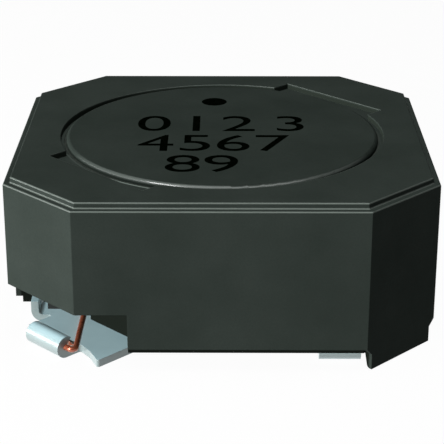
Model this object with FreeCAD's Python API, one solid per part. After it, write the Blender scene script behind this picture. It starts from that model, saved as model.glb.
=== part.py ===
import FreeCAD, Part
import math
import os

# Shielded surface-mount inductor. All sizes are in mm, the board is the plane z = 0, and the
# wider marked side faces -Y. The part has a half-turn symmetry about the Z axis.

V = FreeCAD.Vector
UP = V(0, 0, 1)
ORIGIN = V(0, 0, 0)
ROOT2 = math.sqrt(2)

# Shield ring: a pressed ferrite octagon round a bore, with a stepped rim above and below
RING_WIDTH = 10.4
RING_WALL = 1.15
CORNER_CUT = 1.77
RIM_TOP = 4.08
RIM_BOTTOM = 0.59
TOP_STEP = 0.15
BOTTOM_STEP = 0.16
STEP_INSET = 0.17
EDGE_ROUND = 0.035
OPENING_STEP = 0.09
RECESS_WIDTH = 3.41
RECESS_WALL = 0.265

# Shield feet, one under each corner that has no terminal, ending a little above the board
FOOT_LENGTH = 2.16
FOOT_THICKNESS = 0.22
FOOT_TIP = 0.13
FOOT_ROUND = 0.1
FOOT_GAP = 0.03

# Pockets under the two terminal corners, and the slots that take the terminals' lips
POCKET_CEILING = 1.48
POCKET_LENGTH = 3.0
SIDE_SKIRT = 0.38
END_SKIRT = 0.46
SLOT_DEPTH = 0.32
SLOT_ROOM = 0.10
LIP_CLEARANCE = 0.02
SKIRT_GAP = 0.05

# Terminals: stamped sheet with a rail under the drum, a side arm, a soldering lug and a hem
SHEET = 0.19
RAIL_INSET = 2.37
RAIL_WIDTH = 1.0
ARM_INSET = 2.745
ARM_WIDTH = 1.0
BEND_RADIUS = 0.30
LIP_HEIGHT = 0.55
LUG_SETBACK = 0.50
LUG_RIGHT = 1.44
LUG_LEFT = 1.25
LUG_ROOT = 3.60
GUSSET = 0.60
HEM_SETBACK = 0.06
HEM_HEIGHT = 0.54
HEM_RIGHT = 0.50
HEM_LEFT = 0.71
HEM_CURL = 35.0
NOTCH_DEPTH = 0.28
NOTCH_KNEE = 0.20
NOTCH_WIDTH = 0.50
CORNER_ROUND = 0.06

# Drum core: a ferrite spool
DRUM_GAP = 0.05
FLANGE_THICKNESS = 0.80
DRUM_ROUND = 0.11
FLANGE_ROUND = 0.05

# Winding of enamelled wire and its two leads
WIRE = 0.15
WINDING_INSET = 0.48
WINDING_DEPTH = 1.62
WINDING_SLACK = 0.02
TURNS = 14
TURN_BULGE = 0.05
LEAD_CLEARANCE = 0.02
LEAD_ROOM = 0.10
LEAD_BEND = 0.25
LEAD_HAIRPIN = 0.09
LEAD_LEAN = 0.05
LEAD_TAIL = 0.15
NOTCH_LENGTH = 1.30

# Solder and adhesive
SOLDER_TOE = 0.16
SOLDER_GAP = 0.004
DRUM_BOND = 0.03
BOND_MARGIN = 0.08
GAP_BOND_HEIGHT = 0.50

# Values that follow from the driving dimensions
HALF_WIDTH = RING_WIDTH / 2
BORE_RADIUS = HALF_WIDTH - RING_WALL
OPENING_RADIUS = BORE_RADIUS + OPENING_STEP
RING_TOP = RIM_TOP + TOP_STEP
LOWER_FACE = RIM_BOTTOM - BOTTOM_STEP
FACET_DISTANCE = (RING_WIDTH - CORNER_CUT) / ROOT2
FACET_HALF = CORNER_CUT / ROOT2
WALL_DISTANCE = BORE_RADIUS + RECESS_WALL
POCKET_EDGE = HALF_WIDTH - POCKET_LENGTH
DRUM_RADIUS = BORE_RADIUS - DRUM_GAP
DRUM_SEAT = SHEET + DRUM_BOND
WINDOW_LOW = DRUM_SEAT + FLANGE_THICKNESS
WINDOW_HIGH = RING_TOP - FLANGE_THICKNESS
SIDE_LIP = HALF_WIDTH - SIDE_SKIRT - LIP_CLEARANCE
END_LIP = HALF_WIDTH - END_SKIRT - LIP_CLEARANCE
SLOT_CEILING = LIP_HEIGHT + SLOT_ROOM
RAIL_CENTRE = HALF_WIDTH - RAIL_INSET
RAIL_INNER = RAIL_CENTRE - RAIL_WIDTH / 2
RAIL_OUTER = RAIL_CENTRE + RAIL_WIDTH / 2
ARM_FRONT = HALF_WIDTH - ARM_INSET
ARM_BACK = ARM_FRONT - ARM_WIDTH
LUG_EDGE = FACET_DISTANCE - LUG_SETBACK
HEM_RADIUS = HEM_HEIGHT / 2
HEM_AXIS = FACET_DISTANCE - HEM_SETBACK - HEM_RADIUS
HEM_ROOT = LUG_EDGE - NOTCH_DEPTH
WINDING_RADIUS = DRUM_RADIUS - WINDING_INSET
CORE_RADIUS = WINDING_RADIUS - WINDING_DEPTH
LEAD_X = WINDING_RADIUS - WIRE / 2
LEAD_LEVEL = SHEET + LEAD_CLEARANCE + WIRE / 2

# Turns about Z in degrees. The first two take a shape drawn with +X pointing outward to a corner
LEFT_CORNER_TURN = 225
RIGHT_CORNER_TURN = 315
HALF_TURN = 180
QUARTER_TURN = 90

# How far a cutting tool runs past the stock, and how close two equal values may come out
PAST = 1.0
NEAR = 1e-6


def turned(shape, degrees):
    copy = shape.copy()
    copy.rotate(ORIGIN, UP, degrees)
    return copy


def plate(corners, depth):
    """Solid between a flat outline and its copy moved by the depth vector."""
    return Part.Face(Part.makePolygon(corners + corners[:1])).extrude(depth)


def prism(points, low, high):
    """Upright prism over a plan outline of (x, y) points."""
    return plate([V(x, y, low) for x, y in points], V(0, 0, high - low))


def box(x0, x1, y0, y1, z0, z1):
    return Part.makeBox(x1 - x0, y1 - y0, z1 - z0, V(x0, y0, z0))


def both_ends(shape):
    """The shape and its copy half a turn round the Z axis."""
    return [shape, turned(shape, HALF_TURN)]


def octagon_prism(inset, low, high):
    """Prism over the ring's outline, moved inward by the inset on all eight sides."""
    half = HALF_WIDTH - inset
    cut = CORNER_CUT - inset * (2 - ROOT2)
    near = half - cut
    quarter = [(half, near), (near, half)]
    points = []
    for turn in range(4):
        points += quarter
        quarter = [(-y, x) for x, y in quarter]
    return prism(points, low, high)


def level_edges(shape, level):
    """Edges that lie wholly at one height."""
    flat = [e for e in shape.Edges if e.BoundBox.ZLength < NEAR]
    return [e for e in flat if abs(e.BoundBox.ZMin - level) < NEAR]


def ring_blank():
    """Octagonal block with the raised land above and below, its level edges slightly rounded."""
    blank = octagon_prism(0, RIM_BOTTOM, RIM_TOP)
    blank = blank.fuse(octagon_prism(STEP_INSET, RIM_TOP, RING_TOP))
    blank = blank.fuse(octagon_prism(STEP_INSET, LOWER_FACE, RIM_BOTTOM))
    edges = level_edges(blank, RING_TOP) + level_edges(blank, RIM_TOP)
    return blank.makeFillet(EDGE_ROUND, edges)


def ring_foot():
    """Rib flush with the corner facet, flared at 45 degrees into the rim, tapered inside."""
    half = FOOT_LENGTH / 2
    shoulder = RIM_BOTTOM - (FACET_HALF - half)
    high = RIM_BOTTOM + BOTTOM_STEP
    right = [(half, FOOT_GAP), (half, shoulder), (FACET_HALF, RIM_BOTTOM), (FACET_HALF, high)]
    left = [(-t, z) for t, z in reversed(right)]
    front = plate([V(FACET_DISTANCE, t, z) for t, z in right + left], V(-FOOT_THICKNESS, 0, 0))
    tip = FACET_DISTANCE - FOOT_TIP
    root = FACET_DISTANCE - FOOT_THICKNESS
    section = [(FACET_DISTANCE, FOOT_GAP), (tip, FOOT_GAP), (root, LOWER_FACE), (root, high),
               (FACET_DISTANCE, high)]
    taper = plate([V(x, -FACET_HALF, z) for x, z in section], V(0, 2 * FACET_HALF, 0))
    rib = front.common(taper)
    edge = [e for e in level_edges(rib, FOOT_GAP) if abs(e.BoundBox.XMax - tip) < NEAR]
    return turned(rib.makeFillet(FOOT_ROUND, edge), RIGHT_CORNER_TURN)


def pocket():
    """Space cut from the front left corner for the terminal, up to its ceiling."""
    reach = WALL_DISTANCE * ROOT2 - POCKET_EDGE
    points = [
        (-POCKET_EDGE, -reach),
        (-reach, -POCKET_EDGE),
        (-RING_WIDTH, -POCKET_EDGE),
        (-RING_WIDTH, -RING_WIDTH),
        (-POCKET_EDGE, -RING_WIDTH),
    ]
    return prism(points, -PAST, POCKET_CEILING)


def pocket_skirt():
    """Part of the pocket's back wall that reaches down to the terminal, beside the lead."""
    back = WALL_DISTANCE * ROOT2
    side = LEAD_X - WIRE / 2 - LEAD_ROOM
    points = [
        (-POCKET_EDGE, POCKET_EDGE - back),
        (-side, side - back),
        (-side, -POCKET_EDGE),
        (-POCKET_EDGE, -POCKET_EDGE),
    ]
    return prism(points, SHEET + SKIRT_GAP, RIM_BOTTOM)


def lip_slots():
    """Slots in the ring's underside for the front left terminal's side lip and end lip."""
    outer = SIDE_LIP + LIP_CLEARANCE
    side = box(-outer, SLOT_DEPTH - outer, -POCKET_EDGE - PAST, SLOT_ROOM - ARM_BACK,
               LOWER_FACE - BOTTOM_STEP, SLOT_CEILING)
    outer = END_LIP + LIP_CLEARANCE
    end = box(-RAIL_OUTER - SLOT_ROOM, SLOT_ROOM - RAIL_INNER, outer - SLOT_DEPTH, outer,
              LOWER_FACE - BOTTOM_STEP, SLOT_CEILING)
    return [side, end]


def top_recess():
    """Shallow glue recess beside the opening, over one terminal corner."""
    half = RECESS_WIDTH / 2
    tool = box(0, WALL_DISTANCE, -half, half, RIM_TOP, RING_TOP + PAST)
    return turned(tool, LEFT_CORNER_TURN)


def make_shield_ring():
    ring = ring_blank().fuse(both_ends(ring_foot()) + both_ends(pocket_skirt()))
    bore = Part.makeCylinder(BORE_RADIUS, RING_TOP + PAST, ORIGIN)
    opening = Part.makeCylinder(OPENING_RADIUS, TOP_STEP + PAST, V(0, 0, RIM_TOP))
    tools = [bore, opening] + both_ends(pocket()) + both_ends(top_recess())
    for slot in lip_slots():
        tools += both_ends(slot)
    return ring.cut(tools).removeSplitter()


def revolved(edges):
    """Solid of revolution about Z from a closed outline in the XZ plane."""
    face = Part.Face(Part.Wire(edges))
    return face.revolve(ORIGIN, UP, 360)


def outline(points):
    """Edges through (x, z) points in the XZ plane, without the closing edge."""
    corners = [V(x, 0, z) for x, z in points]
    return [Part.LineSegment(a, b).toShape() for a, b in zip(corners, corners[1:])]


def lead_notch():
    """Cut in the lower flange's rim that lets one lead down to the terminal."""
    front = math.sqrt(DRUM_RADIUS ** 2 - LEAD_X ** 2)
    start = front - NOTCH_LENGTH - LEAD_ROOM
    inner = LEAD_X - WIRE / 2 - LEAD_ROOM
    tool = box(-DRUM_RADIUS - PAST, -inner, -front - PAST, -start, 0, WINDOW_LOW + LEAD_ROOM)
    upright = [e for e in tool.Edges if e.BoundBox.ZLength > FLANGE_THICKNESS]
    inside = [e for e in upright if e.BoundBox.XMax > -inner - NEAR]
    corner = [e for e in inside if e.BoundBox.YMax > -start - NEAR]
    return tool.makeFillet(LEAD_ROOM, corner)


def make_drum_core():
    rim = DRUM_RADIUS - DRUM_ROUND
    low = [
        (0, DRUM_SEAT),
        (DRUM_RADIUS - FLANGE_ROUND, DRUM_SEAT),
        (DRUM_RADIUS, DRUM_SEAT + FLANGE_ROUND),
        (DRUM_RADIUS, WINDOW_LOW),
        (CORE_RADIUS, WINDOW_LOW),
        (CORE_RADIUS, WINDOW_HIGH),
        (DRUM_RADIUS, WINDOW_HIGH),
        (DRUM_RADIUS, RING_TOP - DRUM_ROUND),
    ]
    bend = DRUM_ROUND / ROOT2
    crest = V(rim + bend, 0, RING_TOP - DRUM_ROUND + bend)
    arc = Part.Arc(V(DRUM_RADIUS, 0, RING_TOP - DRUM_ROUND), crest, V(rim, 0, RING_TOP))
    top = outline([(rim, RING_TOP), (0, RING_TOP), (0, DRUM_SEAT)])
    spool = revolved(outline(low) + [arc.toShape()] + top)
    return spool.cut(both_ends(lead_notch()))


def coil():
    """Wound body with one straight-sided ridge for each turn of the outer layer."""
    low = WINDOW_LOW + WINDING_SLACK
    high = WINDOW_HIGH - WINDING_SLACK
    inner = CORE_RADIUS + WINDING_SLACK
    groove = WINDING_RADIUS - TURN_BULGE
    pitch = (high - low) / TURNS
    points = [(groove, high), (inner, high), (inner, low), (groove, low)]
    for turn in range(TURNS):
        points.append((WINDING_RADIUS, low + (turn + 0.5) * pitch))
        points.append((groove, low + (turn + 1) * pitch))
    return revolved(outline(points))


def rounded_path(points, radii):
    """Wire through the points, with an arc of the given radius at each inner point."""
    edges = []
    start = points[0]
    for before, corner, after, radius in zip(points, points[1:], points[2:], radii):
        arriving = (corner - before).normalize()
        leaving = (after - corner).normalize()
        half_turn = arriving.getAngle(leaving) / 2
        reach = radius * math.tan(half_turn)
        first = corner - arriving * reach
        last = corner + leaving * reach
        inward = (leaving - arriving).normalize()
        crest = corner + inward * (radius / math.cos(half_turn) - radius)
        edges.append(Part.LineSegment(start, first).toShape())
        edges.append(Part.Arc(first, crest, last).toShape())
        start = last
    edges.append(Part.LineSegment(start, points[-1]).toShape())
    return Part.Wire(edges)


def corner_point(outward, along, z):
    """Point at the front left corner, given its distance out and its place along the facet."""
    return V((along - outward) / ROOT2, -(along + outward) / ROOT2, z)


def lead():
    """Lead from the coil's lowest turn through the flange notch, over the terminal, into its hem."""
    front = math.sqrt(DRUM_RADIUS ** 2 - LEAD_X ** 2)
    turn_level = WINDOW_LOW + WINDING_SLACK + WIRE / 2
    high_y = NOTCH_LENGTH - front
    hem_x = LEAD_X + LEAD_LEAN
    hem_level = HEM_RADIUS
    points = [
        V(-LEAD_X, 0, turn_level),
        V(-LEAD_X, high_y, turn_level),
        V(-LEAD_X, -front, LEAD_LEVEL),
        V(-hem_x, hem_x - HEM_AXIS * ROOT2, hem_level),
        corner_point(HEM_AXIS, LEAD_TAIL - HEM_LEFT, hem_level),
    ]
    radii = [LEAD_BEND, LEAD_BEND, LEAD_HAIRPIN]
    ring = Part.Circle(points[0], points[1] - points[0], WIRE / 2).toShape()
    return rounded_path(points, radii).makePipeShell([Part.Wire(ring)], True, False)


def make_winding():
    return coil().fuse(both_ends(lead()))


def lip(width):
    """Upturned end of a strip: drawn to start at x = 0 heading +X, centred on y = 0."""
    inner = BEND_RADIUS - SHEET
    outer_mid = V(BEND_RADIUS / ROOT2, 0, BEND_RADIUS - BEND_RADIUS / ROOT2)
    inner_mid = V(inner / ROOT2, 0, BEND_RADIUS - inner / ROOT2)
    outer_arc = Part.Arc(ORIGIN, outer_mid, V(BEND_RADIUS, 0, BEND_RADIUS))
    inner_arc = Part.Arc(V(inner, 0, BEND_RADIUS), inner_mid, V(0, 0, SHEET))
    leg = outline([(BEND_RADIUS, BEND_RADIUS), (BEND_RADIUS, LIP_HEIGHT), (inner, LIP_HEIGHT),
                   (inner, BEND_RADIUS)])
    root = outline([(0, SHEET), (0, 0)])
    face = Part.Face(Part.Wire([outer_arc.toShape()] + leg + [inner_arc.toShape()] + root))
    strip = face.extrude(V(0, width, 0))
    strip.translate(V(0, -width / 2, 0))
    return strip


def hem_point(radius, degrees):
    """Point of the hem's curl in the plane across it, with the angle from the outward side."""
    angle = math.radians(degrees)
    return V(HEM_AXIS + radius * math.cos(angle), 0, HEM_RADIUS + radius * math.sin(angle))


def hem():
    """Edge of the sheet curled up and back over the wire, drawn with +X outward."""
    inner = HEM_RADIUS - SHEET
    start = -QUARTER_TURN
    end = QUARTER_TURN + HEM_CURL
    middle = (start + end) / 2
    outer_arc = Part.Arc(hem_point(HEM_RADIUS, start), hem_point(HEM_RADIUS, middle),
                         hem_point(HEM_RADIUS, end))
    tip = Part.LineSegment(hem_point(HEM_RADIUS, end), hem_point(inner, end))
    inner_arc = Part.Arc(hem_point(inner, end), hem_point(inner, middle), hem_point(inner, start))
    root = Part.LineSegment(hem_point(inner, start), hem_point(HEM_RADIUS, start))
    face = Part.Face(Part.Wire([c.toShape() for c in (outer_arc, tip, inner_arc, root)]))
    curl = face.extrude(V(0, HEM_LEFT + HEM_RIGHT, 0))
    curl.translate(V(0, -HEM_LEFT, 0))
    return turned(curl, LEFT_CORNER_TURN)


def blank_outline():
    """Flat part of the front left terminal: rail, side arm, soldering lug and hem tab."""
    def corner(outward, along):
        point = corner_point(outward, along, 0)
        return (point.x, point.y)

    arm_meets_lug = ARM_FRONT * ROOT2 + LUG_LEFT
    return [
        (-RAIL_INNER, GUSSET - LUG_ROOT),
        corner(LUG_ROOT, LUG_RIGHT),
        corner(LUG_EDGE, LUG_RIGHT),
        corner(LUG_EDGE - NOTCH_KNEE, LUG_RIGHT - NOTCH_WIDTH),
        corner(HEM_ROOT, HEM_RIGHT),
        corner(HEM_AXIS, HEM_RIGHT),
        corner(HEM_AXIS, -HEM_LEFT),
        corner(HEM_ROOT, -HEM_LEFT),
        corner(LUG_EDGE, -LUG_LEFT),
        corner(arm_meets_lug, -LUG_LEFT),
        (BEND_RADIUS - SIDE_LIP, -ARM_FRONT),
        (BEND_RADIUS - SIDE_LIP, -ARM_BACK),
        (-RAIL_OUTER, -ARM_BACK),
        (-RAIL_OUTER, END_LIP - BEND_RADIUS),
        (-RAIL_INNER, END_LIP - BEND_RADIUS),
    ]


def round_free_corners(blank):
    """Rounds the stamped corners in plan, leaving those where a lip or the hem begins."""
    bends = [HEM_AXIS, SIDE_LIP - BEND_RADIUS, END_LIP - BEND_RADIUS]

    def is_free(edge):
        x, y = edge.CenterOfMass.x, edge.CenterOfMass.y
        reaches = [-(x + y) / ROOT2, -x, y]
        return all(abs(reach - bend) > NEAR for reach, bend in zip(reaches, bends))

    upright = [e for e in blank.Edges if e.BoundBox.ZLength > SHEET / 2]
    return blank.makeFillet(CORNER_ROUND, [e for e in upright if is_free(e)])


def make_terminal():
    """Front left terminal, stamped and bent from one sheet."""
    blank = round_free_corners(prism(blank_outline(), 0, SHEET))
    side = turned(lip(ARM_WIDTH), HALF_TURN)
    side.translate(V(BEND_RADIUS - SIDE_LIP, -(ARM_FRONT + ARM_BACK) / 2, 0))
    end = turned(lip(RAIL_WIDTH), QUARTER_TURN)
    end.translate(V(-RAIL_CENTRE, END_LIP - BEND_RADIUS, 0))
    return blank.fuse([side, end, hem()]).removeSplitter()


def make_solder(terminal, winding):
    """Solder between the hem, its sheet and the wire in the front left terminal."""
    toe = HEM_AXIS - HEM_RADIUS - SOLDER_TOE
    tip = hem_point(HEM_RADIUS - SHEET / 2, QUARTER_TURN + HEM_CURL)
    sag = V((toe + tip.x) / 2 + SOLDER_TOE / 4, 0, (SHEET + tip.z) / 2 - SOLDER_TOE / 4)
    fillet = Part.Arc(tip, sag, V(toe, 0, SHEET))
    floor = Part.LineSegment(V(toe, 0, SHEET), V(HEM_AXIS, 0, SHEET))
    rise = Part.LineSegment(V(HEM_AXIS, 0, SHEET), tip)
    face = Part.Face(Part.Wire([c.toShape() for c in (fillet, floor, rise)]))
    bead = face.extrude(V(0, HEM_LEFT + HEM_RIGHT - LEAD_TAIL, 0))
    bead.translate(V(0, LEAD_TAIL - HEM_LEFT, 0))
    wire = Part.makeCylinder(WIRE / 2 + SOLDER_GAP, HEM_LEFT + HEM_RIGHT + PAST,
                             V(HEM_AXIS, -HEM_LEFT, HEM_RADIUS), V(0, 1, 0))
    return turned(bead.cut(wire), LEFT_CORNER_TURN).cut([terminal, winding])


def make_drum_bond():
    """Adhesive film between the left rail and the drum's lower flange."""
    outer = LEAD_X - WIRE / 2 - LEAD_ROOM - BOND_MARGIN
    side = min(outer, RAIL_OUTER - BOND_MARGIN)
    reach = math.sqrt((DRUM_RADIUS - FLANGE_ROUND) ** 2 - side ** 2) - BOND_MARGIN
    return box(-side, -RAIL_INNER - BOND_MARGIN, -reach, reach, SHEET, DRUM_SEAT)


def make_arm_bond():
    """Adhesive between the left side arm and the ring's lower face."""
    start = math.sqrt(BORE_RADIUS ** 2 - ARM_BACK ** 2) + BOND_MARGIN
    end = SIDE_LIP + LIP_CLEARANCE - SLOT_DEPTH - BOND_MARGIN
    return box(-end, -start, -POCKET_EDGE + BOND_MARGIN, -ARM_BACK - BOND_MARGIN, SHEET, LOWER_FACE)


def make_rail_bond():
    """Adhesive between the far end of the left rail and the ring's lower face."""
    start = math.sqrt(BORE_RADIUS ** 2 - RAIL_INNER ** 2) + BOND_MARGIN
    end = END_LIP + LIP_CLEARANCE - SLOT_DEPTH - BOND_MARGIN
    return box(-RAIL_OUTER + BOND_MARGIN, -RAIL_INNER - BOND_MARGIN, start, end, SHEET, LOWER_FACE)


def make_gap_bond():
    """Adhesive that fills the gap between the drum's upper flange and the bore, up to the recesses."""
    low = V(0, 0, RIM_TOP - GAP_BOND_HEIGHT)
    outer = Part.makeCylinder(BORE_RADIUS, GAP_BOND_HEIGHT, low)
    return outer.cut(Part.makeCylinder(DRUM_RADIUS, GAP_BOND_HEIGHT, low))


def make_pieces():
    terminal = make_terminal()
    winding = make_winding()
    pieces = {
        "shield_ring": make_shield_ring(),
        "drum_core": make_drum_core(),
        "winding": winding,
        "gap_bond": make_gap_bond(),
    }
    pairs = {
        "terminal": terminal,
        "solder": make_solder(terminal, winding),
        "drum_bond": make_drum_bond(),
        "arm_bond": make_arm_bond(),
        "rail_bond": make_rail_bond(),
    }
    for name, shape in pairs.items():
        pieces[name + "_left"] = shape
        pieces[name + "_right"] = turned(shape, HALF_TURN)
    return pieces


os.makedirs("parts", exist_ok=True)
for piece_name, piece in make_pieces().items():
    piece.exportStep("parts/" + piece_name + ".step")
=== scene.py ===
import math

import bpy
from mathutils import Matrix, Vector


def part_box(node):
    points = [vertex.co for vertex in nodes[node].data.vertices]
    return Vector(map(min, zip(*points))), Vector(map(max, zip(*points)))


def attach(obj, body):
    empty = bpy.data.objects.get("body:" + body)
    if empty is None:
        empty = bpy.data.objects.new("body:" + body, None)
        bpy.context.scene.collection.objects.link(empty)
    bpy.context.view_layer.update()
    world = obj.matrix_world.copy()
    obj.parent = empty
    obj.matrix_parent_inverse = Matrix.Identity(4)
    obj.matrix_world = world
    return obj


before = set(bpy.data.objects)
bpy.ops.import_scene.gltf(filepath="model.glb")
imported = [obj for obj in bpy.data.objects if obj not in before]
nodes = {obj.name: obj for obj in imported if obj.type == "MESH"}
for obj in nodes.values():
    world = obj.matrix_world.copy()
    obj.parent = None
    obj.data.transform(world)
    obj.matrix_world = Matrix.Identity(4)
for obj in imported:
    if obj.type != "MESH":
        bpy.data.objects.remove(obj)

MM = 0.001
scene = bpy.context.scene
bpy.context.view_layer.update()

# Camera, from the photograph's perspective: place in mm, turn in degrees, and clipping in metres
CAMERA_AT = (0.089, -37.34, 16.86)
CAMERA_TURN = (68.31, 0.0, 0.3076)
LENS_MM = 124.01
SENSOR_MM = 36.0
SHIFT = (0.0095, -0.0225)
CLIP_START = 0.001
CLIP_END = 10.0

# Sizes in mm, taken from the solids
RING_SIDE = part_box("shield_ring")[1].x / MM
RING_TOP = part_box("shield_ring")[1].z / MM
DRUM_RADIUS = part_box("drum_core")[1].x / MM
DRUM_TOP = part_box("drum_core")[1].z / MM

# Sizes in mm of the solids' details, which the boxes don't give
CORNER_CUT = 1.77        # from the octagon's corner facets to the square's corners, along a side
POCKET_TOP = 1.48        # ceiling of the pockets
DRUM_ROUND = 0.11        # rounding of the drum's rim

# Sizes in mm that only the shading has
FERRITE_EDGE = 0.03      # rounding of the ferrite's sharp edges
SHEET_EDGE = 0.02        # rounding of the terminals' sharp edges
POCKET_INSET = 0.1       # from the ring's sides to the painted shade inside the pockets
INNER_DEPTH = 0.03       # from the ring's top face down to its inner walls' painted shade
INNER_INSET = 0.4        # from the ring's sides to its inner walls' painted shade
RIM_DEPTH = 0.3          # how far down the drum's wall its exact form is followed
LIP_RADIUS = 4.11        # outer side of the painted highlight along the bore's edge in the two glue recesses
LIP_SPAN = 5.2           # |x + y| at the line's ends
LIP_FADE = (2.6, 3.2)    # |x| between which the line fades to its faint part
LIP_FAINT = 0.15         # strength of the faint part

# How the shading reads a surface's normal, as ranges of its parts
STEEP_TO_LEVEL = (0.5, 0.95)   # |z| from a steep face to a level one
WALL_TO_RIM = (0.05, 0.35)     # |z| from the drum's wall to its rim
EDGE_RISE = 0.25               # width in z over which an edge's painted highlight comes up
EDGE_END = (0.90, 0.99)        # z over which it ends
EDGE_HEADING = (0.42, 0.82)    # |y| over which it comes up as the edge turns to the front or back

# Printed marking on the drum's top face, in mm: rows of plain digits as (text, left, right, foot, head), and
# a dot as (x, y, radius)
MARK_ROWS = (
    ("0123", -2.20, 2.12, 0.06, 1.30),
    ("4567", -2.12, 1.72, -1.49, -0.26),
    ("89", -1.38, 0.40, -3.00, -1.79),
)
MARK_DOT = (-0.22, 2.55, 0.34)
MARK_LIFT = 0.001
DOT_SIDES = 48
DIGIT_WIDTH = 0.85
DIGIT_STEPS = 6

# Lamps and floor, lengths in mm
LAMP_DISTANCE = 120
AIM_HEIGHT = 2
AMBIENT = 0.06
FLOOR_SIZE = 2000
FLOOR_DROP = 0.01        # keeps the floor clear of the terminals' undersides
FLOOR_TONE = 0.25        # for the light that the floor sends back to the part
FLOOR_SEEN_TONE = 0.95   # for the camera and for reflections
FLOOR_GLOW = 0.93        # share of plain white in the seen floor, whose rest keeps the part's shadow


def srgb(red, green, blue):
    """Linear colour from 0 to 255 screen values."""
    def one(value):
        value /= 255
        return value / 12.92 if value <= 0.04045 else ((value + 0.055) / 1.055) ** 2.4
    return (one(red), one(green), one(blue))


# Painted highlight: pale colour of the ring's rounded edges, on edges that face up and to the front or back
RIM_EDGE_HIGHLIGHT = srgb(96, 105, 99)
# Painted highlight: pale colour of the drum's rounded rim
DISC_RIM_HIGHLIGHT = srgb(79, 86, 82)
# Painted highlight: a pale line along the bore's edge in the glue recesses
LIP_HIGHLIGHT = srgb(116, 126, 120)
# Painted shade: darker colour of the ring's inner walls
INNER_WALL_SHADE = srgb(37, 43, 38)
# Painted shade: darker colour of the drum's wall where it shows in the gap
GAP_WALL_SHADE = srgb(24, 29, 26)
# Painted shade: dark colour inside the pockets under the ring
POCKET_SHADE = srgb(21, 25, 21)
FERRITE_SPECULAR = 0.01
FERRITE_ROUGHNESS = 0.52


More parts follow.
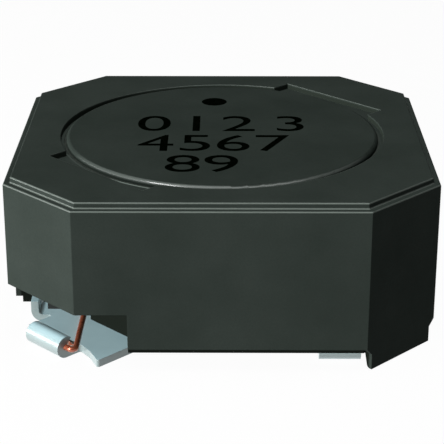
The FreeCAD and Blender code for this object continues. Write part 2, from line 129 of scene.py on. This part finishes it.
class Shade:
    """A Principled material that is put together step by step."""

    def __init__(self, name, metallic=0.0, specular=0.5, coat=0.0, coat_roughness=0.1):
        self.material = bpy.data.materials.new(name)
        self.material.use_nodes = True
        self.tree = self.material.node_tree
        self.shader = self.tree.nodes["Principled BSDF"]
        self.shader.inputs["Metallic"].default_value = metallic
        self.shader.inputs["Specular IOR Level"].default_value = specular
        self.shader.inputs["Coat Weight"].default_value = coat
        self.shader.inputs["Coat Roughness"].default_value = coat_roughness
        self.place = self.tree.nodes.new("ShaderNodeTexCoord").outputs["Object"]
        self.normal = None

    def link(self, output, target):
        self.tree.links.new(output, target)

    def feed(self, value, socket):
        """Links an output to the socket, or sets the socket to a plain value."""
        if isinstance(value, bpy.types.NodeSocket):
            self.link(value, socket)
        else:
            socket.default_value = value

    def math(self, operation, first, second=None):
        node = self.tree.nodes.new("ShaderNodeMath")
        node.operation = operation
        self.feed(first, node.inputs[0])
        if second is not None:
            self.feed(second, node.inputs[1])
        return node.outputs[0]

    def product(self, first, *others):
        for other in others:
            first = self.math("MULTIPLY", first, other)
        return first

    def vector(self, operation, first, second=None, result="Vector"):
        node = self.tree.nodes.new("ShaderNodeVectorMath")
        node.operation = operation
        self.link(first, node.inputs[0])
        if second is not None:
            self.feed(second, node.inputs["Scale" if operation == "SCALE" else 1])
        return node.outputs[result]

    def split(self, vector):
        """The x, y and z of a vector."""
        node = self.tree.nodes.new("ShaderNodeSeparateXYZ")
        self.link(vector, node.inputs["Vector"])
        return node.outputs["X"], node.outputs["Y"], node.outputs["Z"]

    def flattened(self, vector):
        """The vector without its z."""
        return self.vector("MULTIPLY", vector, (1.0, 1.0, 0.0))

    def noise(self, size_mm, detail=3.0, rough=0.55, stretch=(1, 1, 1)):
        """Noise whose features are about the given size."""
        mapping = self.tree.nodes.new("ShaderNodeMapping")
        mapping.inputs["Scale"].default_value = stretch
        self.link(self.place, mapping.inputs["Vector"])
        node = self.tree.nodes.new("ShaderNodeTexNoise")
        node.inputs["Scale"].default_value = 1 / (size_mm * MM)
        node.inputs["Detail"].default_value = detail
        node.inputs["Roughness"].default_value = rough
        self.link(mapping.outputs["Vector"], node.inputs["Vector"])
        return node.outputs["Fac"]

    def ramp(self, source, stops):
        """Colours that blend between two stops, each a place from 0 to 1 and a colour."""
        node = self.tree.nodes.new("ShaderNodeValToRGB")
        for element, (at, colour) in zip(node.color_ramp.elements, stops):
            element.position = at
            element.color = (*colour, 1.0)
        self.link(source, node.inputs["Fac"])
        return node.outputs["Color"]

    def grey(self, source, low, high, start=0.3, end=0.7):
        """A number that goes from low to high while the source goes from start to end."""
        node = self.tree.nodes.new("ShaderNodeMapRange")
        node.inputs["From Min"].default_value = start
        node.inputs["From Max"].default_value = end
        node.inputs["To Min"].default_value = low
        node.inputs["To Max"].default_value = high
        self.link(source, node.inputs["Value"])
        return node.outputs["Result"]

    def past(self, length, limit_mm, blur_mm):
        """0 up to the limit and 1 past it, with a step that is blur_mm wide and ends at the limit."""
        return self.grey(length, 0.0, 1.0, (limit_mm - blur_mm) * MM, limit_mm * MM)

    def within(self, length, limit_mm, blur_mm):
        """1 up to the limit and 0 past it, with a step that is blur_mm wide and ends at the limit."""
        return self.grey(length, 1.0, 0.0, (limit_mm - blur_mm) * MM, limit_mm * MM)

    def mix(self, factor, first, second):
        """The first colour or vector where the factor is 0, and the second where it is 1."""
        node = self.tree.nodes.new("ShaderNodeMix")
        node.data_type = "RGBA"
        self.link(factor, node.inputs[0])
        sockets = [socket for socket in node.inputs if socket.type == "RGBA"]
        for value, socket in zip((first, second), sockets):
            self.feed((*value, 1.0) if isinstance(value, tuple) else value, socket)
        return [socket for socket in node.outputs if socket.type == "RGBA"][0]

    def soften(self, radius_mm):
        """Shades the sharp edges as if they were rounded, and returns the rounded normal."""
        node = self.tree.nodes.new("ShaderNodeBevel")
        node.samples = 6
        node.inputs["Radius"].default_value = radius_mm * MM
        self.normal = node.outputs["Normal"]
        return self.normal

    def smooth_rim(self, normal):
        """Normal of the drum's upright wall and rounded rim, worked out from the place and so free of the
        mesh's facets. Further down than RIM_DEPTH the given normal stays."""
        level = self.flattened(self.place)
        height = self.split(self.place)[2]
        radius = self.vector("LENGTH", level, result="Value")
        reach = self.math("SUBTRACT", radius, (DRUM_RADIUS - DRUM_ROUND) * MM)
        rise = self.math("SUBTRACT", height, (DRUM_TOP - DRUM_ROUND) * MM)
        upward = self.tree.nodes.new("ShaderNodeCombineXYZ")
        self.link(self.math("MAXIMUM", rise, 0.0), upward.inputs["Z"])
        outward = self.vector("SCALE", self.vector("NORMALIZE", level), self.math("MAXIMUM", reach, 0.0))
        exact = self.vector("NORMALIZE", self.vector("ADD", outward, upward.outputs["Vector"]))
        self.normal = self.mix(self.past(height, DRUM_TOP - RIM_DEPTH, blur_mm=0.01), normal, exact)
        return self.normal

    def tilt(self, normal):
        """How level the surface is: 1 on a level face, 0 on an upright one."""
        return self.math("ABSOLUTE", self.split(normal)[2])

    def edges(self, normal, start):
        """1 on the rounded edges between an upper face and an upright one, 0 on the faces. The edge
        begins where the normal's z passes the start value, and fades where it faces left or right."""
        lift = self.split(normal)[2]
        off_upright = self.grey(lift, 0.0, 1.0, start, start + EDGE_RISE)
        off_level = self.grey(lift, 1.0, 0.0, *EDGE_END)
        heading = self.split(self.vector("NORMALIZE", self.flattened(normal)))[1]
        off_sides = self.grey(self.math("ABSOLUTE", heading), 0.0, 1.0, *EDGE_HEADING)
        return self.product(off_upright, off_level, off_sides)

    def sheltered(self, top_mm, inset_mm):
        """1 below the given height and further in than the given inset from the octagon, 0 elsewhere."""
        x, y, height = self.split(self.place)
        across = self.math("ABSOLUTE", x)
        along = self.math("ABSOLUTE", y)
        corner = self.math("SUBTRACT", self.math("ADD", across, along), (RING_SIDE - CORNER_CUT) * MM)
        outward = self.math("MAXIMUM", self.math("MAXIMUM", across, along), corner)
        inside = self.within(outward, RING_SIDE - inset_mm, blur_mm=0.05)
        return self.product(inside, self.within(height, top_mm, blur_mm=0.02))

    def recess_lip(self):
        """Mask of the painted highlight: 1 along the bore's edge in the glue recesses, faint toward the left
        and right, and 0 elsewhere.
        """
        x, y = self.split(self.place)[:2]
        in_recess = self.past(self.math("ABSOLUTE", self.math("ADD", x, y)), LIP_SPAN, blur_mm=0.05)
        radius = self.vector("LENGTH", self.flattened(self.place), result="Value")
        near_bore = self.within(radius, LIP_RADIUS, blur_mm=0.01)
        fade_start, fade_end = LIP_FADE
        fade = self.grey(self.math("ABSOLUTE", x), 1.0, LIP_FAINT, fade_start * MM, fade_end * MM)
        return self.product(in_recess, near_bore, fade)

    def bump(self, source, strength, depth_mm):
        node = self.tree.nodes.new("ShaderNodeBump")
        node.inputs["Strength"].default_value = strength
        node.inputs["Distance"].default_value = depth_mm * MM
        self.link(source, node.inputs["Height"])
        if self.normal is not None:
            self.link(self.normal, node.inputs["Normal"])
        self.normal = node.outputs["Normal"]

    def done(self, colour, roughness):
        self.link(colour, self.shader.inputs["Base Color"])
        self.link(roughness, self.shader.inputs["Roughness"])
        self.link(self.normal, self.shader.inputs["Normal"])
        return self.material


def ferrite(shade, dark, light, painted_tints, edge, edge_highlight, edge_specular, edge_roughness):
    """Fired ferrite: fine grain, faint clouds, and glossy edges with a painted highlight colour. Each tint is
    a mask and the painted shade or painted highlight that it brings in, and the pockets get painted shade
    inside."""
    grain = shade.noise(0.05, detail=2.0, rough=0.7)
    colour = shade.ramp(shade.noise(1.6, detail=4.0), [(0.3, dark), (0.7, light)])
    colour = shade.mix(shade.grey(grain, 0.0, 0.25), colour, tuple(part * 0.6 for part in dark))
    # Painted shade inside the pockets and painted highlight on the edges go over the base colour
    in_pocket = shade.sheltered(POCKET_TOP, POCKET_INSET)
    for mask, tint in (*painted_tints, (edge, edge_highlight), (in_pocket, POCKET_SHADE)):
        colour = shade.mix(mask, colour, tint)
    shade.bump(grain, strength=0.25, depth_mm=0.003)
    shade.bump(shade.noise(0.25), strength=0.15, depth_mm=0.006)
    specular = shade.grey(edge, FERRITE_SPECULAR, edge_specular, start=0.0, end=1.0)
    shade.link(specular, shade.shader.inputs["Specular IOR Level"])
    return shade.done(colour, shade.grey(edge, FERRITE_ROUGHNESS, edge_roughness, start=0.0, end=1.0))


def ring_ferrite(name):
    """The ring's ferrite. Its inner walls get painted shade, and the bore's edge gets a painted highlight in
    the glue recesses.
    """
    shade = Shade(name)
    normal = shade.soften(FERRITE_EDGE)
    # Painted shade on the inner walls, painted highlight on the edges and along the bore's edge in the
    # recesses
    inner = shade.sheltered(RING_TOP - INNER_DEPTH, INNER_INSET)
    steep = shade.grey(shade.tilt(normal), 1.0, 0.0, *STEEP_TO_LEVEL)
    edge = shade.product(shade.edges(normal, start=0.10), shade.math("SUBTRACT", 1.0, inner))
    painted_tints = [(shade.product(inner, steep), INNER_WALL_SHADE), (shade.recess_lip(), LIP_HIGHLIGHT)]
    return ferrite(
        shade, srgb(47, 54, 50), srgb(54, 61, 57), painted_tints,
        edge, RIM_EDGE_HIGHLIGHT, edge_specular=0.5, edge_roughness=0.34,
    )


def drum_ferrite(name):
    """The drum's ferrite. Its rim is glossy with a painted highlight colour, and its wall gets painted shade
    where it shows in the gap.
    """
    shade = Shade(name)
    normal = shade.smooth_rim(shade.soften(FERRITE_EDGE))
    # Painted shade on the drum's upright wall
    wall = shade.grey(shade.tilt(normal), 1.0, 0.0, *WALL_TO_RIM)
    return ferrite(
        shade, srgb(44, 51, 47), srgb(51, 58, 54), [(wall, GAP_WALL_SHADE)],
        shade.edges(normal, start=0.38), DISC_RIM_HIGHLIGHT, edge_specular=1.0, edge_roughness=0.20,
    )


def tin(name):
    """Matte tin plate on rolled sheet, with faint rolling lines. Its level faces are painted paler than its
    sides, as painted light and shade.
    """
    shade = Shade(name, metallic=0.2, coat=0.8, coat_roughness=0.16)
    rolled = shade.noise(0.08, stretch=(1, 0.06, 1))
    cloud = shade.noise(0.8)
    # Painted light and shade: a paler colour on level faces and a darker one on the sides
    flat = shade.ramp(cloud, [(0.25, srgb(182, 216, 223)), (0.75, srgb(193, 226, 233))])
    side = shade.ramp(cloud, [(0.25, srgb(142, 158, 158)), (0.75, srgb(152, 168, 168))])
    level = shade.grey(shade.tilt(shade.soften(SHEET_EDGE)), 0.0, 1.0, *STEEP_TO_LEVEL)
    shade.bump(rolled, strength=0.25, depth_mm=0.003)
    return shade.done(shade.mix(level, side, flat), shade.grey(rolled, 0.30, 0.44))


def copper(name):
    """Copper wire under a thin clear enamel."""
    shade = Shade(name, metallic=0.6, coat=0.8, coat_roughness=0.12)
    cloud = shade.noise(0.2, detail=2.0)
    colour = shade.ramp(cloud, [(0.3, srgb(160, 82, 56)), (0.7, srgb(186, 106, 76))])
    shade.bump(shade.noise(0.03), strength=0.15, depth_mm=0.002)
    return shade.done(colour, shade.grey(cloud, 0.24, 0.38))


def solder_metal(name):
    """Solidified solder: smooth, with a faint frosted skin."""
    shade = Shade(name, metallic=1.0)
    frost = shade.noise(0.06, detail=4.0)
    colour = shade.ramp(frost, [(0.3, srgb(196, 194, 186)), (0.7, srgb(228, 226, 218))])
    shade.bump(frost, strength=0.3, depth_mm=0.006)
    return shade.done(colour, shade.grey(frost, 0.22, 0.42))


def resin(name, dark, light):
    """Cured dark adhesive with a dull, uneven skin."""
    shade = Shade(name, specular=0.3)
    cloud = shade.noise(0.3)
    colour = shade.ramp(cloud, [(0.3, dark), (0.7, light)])
    shade.bump(cloud, strength=0.4, depth_mm=0.01)
    return shade.done(colour, shade.grey(cloud, 0.45, 0.65))


def ink(name):
    """Matte black print, slightly worn through to the ferrite's grain."""
    shade = Shade(name, specular=0.0)
    grain = shade.noise(0.06, detail=2.0)
    colour = shade.ramp(grain, [(0.35, srgb(0, 2, 0)), (0.75, srgb(5, 7, 4))])
    shade.bump(grain, strength=0.3, depth_mm=0.003)
    return shade.done(colour, shade.grey(grain, 0.55, 0.7))


MATERIALS = {
    "shield_ring": ring_ferrite("ring_ferrite"),
    "drum_core": drum_ferrite("drum_ferrite"),
    "winding": copper("enamelled_wire"),
    "gap_bond": resin("gap_resin", srgb(40, 46, 42), srgb(50, 56, 51)),
}
TIN = tin("tin_plate")
SOLDER = solder_metal("solder_metal")
RESIN = resin("bond_resin", srgb(24, 26, 24), srgb(40, 42, 40))
INK = ink("mark_ink")
for side in ("_left", "_right"):
    MATERIALS["terminal" + side] = TIN
    MATERIALS["solder" + side] = SOLDER
    for bond in ("drum_bond", "arm_bond", "rail_bond"):
        MATERIALS[bond + side] = RESIN

for name, material in MATERIALS.items():
    for slot in nodes[name].material_slots:
        slot.material = material


def lay_down(name, points, faces):
    """Thin printed shape lying on the drum's top face, from points in mm."""
    mesh = bpy.data.meshes.new(name)
    mesh.from_pydata([(x * MM, y * MM, (DRUM_TOP + MARK_LIFT) * MM) for x, y in points], [], faces)
    mesh.materials.append(INK)
    body = bpy.data.objects.new(name, mesh)
    scene.collection.objects.link(body)
    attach(body, "root")


def digit_shape(text):
    """Outline and faces of a plain digit, moved to start at x = 0 and stand on y = 0."""
    curve = bpy.data.curves.new("digit", "FONT")
    curve.body = text
    curve.resolution_u = DIGIT_STEPS
    drawn = bpy.data.objects.new("digit", curve)
    scene.collection.objects.link(drawn)
    mesh = bpy.data.meshes.new_from_object(drawn.evaluated_get(bpy.context.evaluated_depsgraph_get()))
    bpy.data.objects.remove(drawn)
    left = min(vertex.co.x for vertex in mesh.vertices)
    foot = min(vertex.co.y for vertex in mesh.vertices)
    points = [(vertex.co.x - left, vertex.co.y - foot) for vertex in mesh.vertices]
    faces = [list(polygon.vertices) for polygon in mesh.polygons]
    bpy.data.meshes.remove(mesh)
    return points, faces


def mark_row(name, text, left, right, foot, head):
    """One row of plain digits, spread evenly from left to right."""
    shapes = [digit_shape(digit) for digit in text]
    stretch = DIGIT_WIDTH / max(x for x, y in digit_shape("8")[0])
    widths = [max(x for x, y in points) * stretch for points, faces in shapes]
    gap = (right - left - sum(widths)) / (len(text) - 1)
    row_points = []
    row_faces = []
    for (points, faces), width in zip(shapes, widths):
        tall = (head - foot) / max(y for x, y in points)
        row_faces += [[len(row_points) + corner for corner in face] for face in faces]
        row_points += [(left + x * stretch, foot + y * tall) for x, y in points]
        left += width + gap
    lay_down(name, row_points, row_faces)


for index, row in enumerate(MARK_ROWS):
    mark_row("mark_row_" + str(index), *row)

dot_x, dot_y, dot_radius = MARK_DOT
angles = [2 * math.pi * step / DOT_SIDES for step in range(DOT_SIDES)]
circle = [(dot_x + dot_radius * math.cos(angle), dot_y + dot_radius * math.sin(angle)) for angle in angles]
lay_down("mark_dot", circle, [list(range(DOT_SIDES))])


camera = bpy.data.cameras.new("camera")
camera.lens = LENS_MM
camera.sensor_width = SENSOR_MM
camera.shift_x, camera.shift_y = SHIFT
camera.clip_start = CLIP_START
camera.clip_end = CLIP_END
eye = bpy.data.objects.new("camera", camera)
eye.location = [at * MM for at in CAMERA_AT]
eye.rotation_euler = [math.radians(angle) for angle in CAMERA_TURN]
scene.collection.objects.link(eye)
scene.camera = eye


def soft_box(name, level, wide_mm, tall_mm, shadow=False):
    """Soft box aimed at the middle of the part. The level vector points to it, and its length is how
    brightly a white surface that faces it renders."""
    toward = Vector(level).normalized()
    distance = LAMP_DISTANCE * MM
    lamp = bpy.data.lights.new(name, "AREA")
    lamp.shape = "RECTANGLE"
    lamp.size = wide_mm * MM
    lamp.size_y = tall_mm * MM
    lamp.use_shadow = shadow
    lamp.energy = Vector(level).length * (math.pi * distance) ** 2
    body = bpy.data.objects.new(name, lamp)
    body.location = Vector((0, 0, AIM_HEIGHT * MM)) + toward * distance
    body.rotation_euler = toward.to_track_quat("Z", "Y").to_euler()
    scene.collection.objects.link(body)


# The photograph's light throws no shadow on the part, so neither do three of the lamps. The overhead one
# throws the shadows that remain, such as the faint one on the floor.
soft_box("key_front_left", (-0.61, -0.55, 0.21), wide_mm=46, tall_mm=32)
soft_box("side_left", (-1.22, -0.04, 0.10), wide_mm=130, tall_mm=56)
soft_box("high_front_left", (-0.17, -0.13, 0.25), wide_mm=40, tall_mm=18)
soft_box("overhead", (0.02, -0.08, 0.37), wide_mm=150, tall_mm=90, shadow=True)

world = bpy.data.worlds.new("studio")
world.use_nodes = True
scene.world = world
back = world.node_tree.nodes["Background"]
back.inputs["Strength"].default_value = AMBIENT
back.inputs["Color"].default_value = (1.0, 1.0, 1.0, 1.0)


def paper(name):
    """Pale paper that looks white to the camera and in reflections, with the part's shadow on it, and that
    sends little light back to the part."""
    shade = Shade(name, specular=0.0)
    shade.shader.inputs["Roughness"].default_value = 0.9
    path = shade.tree.nodes.new("ShaderNodeLightPath").outputs
    seen = shade.math("MAXIMUM", path["Is Camera Ray"], path["Is Glossy Ray"])
    seen = shade.math("MAXIMUM", seen, path["Is Transmission Ray"])
    tone = shade.grey(seen, FLOOR_TONE, FLOOR_SEEN_TONE, start=0.0, end=1.0)
    shade.link(tone, shade.shader.inputs["Base Color"])
    glow = shade.tree.nodes.new("ShaderNodeEmission")
    blend = shade.tree.nodes.new("ShaderNodeMixShader")
    shade.link(shade.math("MULTIPLY", seen, FLOOR_GLOW), blend.inputs["Fac"])
    shade.link(shade.shader.outputs[0], blend.inputs[1])
    shade.link(glow.outputs[0], blend.inputs[2])
    shade.link(blend.outputs[0], shade.tree.nodes["Material Output"].inputs["Surface"])
    return shade.material


bpy.ops.mesh.primitive_plane_add(size=FLOOR_SIZE * MM, location=(0, 0, -FLOOR_DROP * MM))
floor = bpy.context.object
floor.name = "floor"
floor.data.materials.append(paper("paper_floor"))

scene.view_settings.view_transform = "Standard"
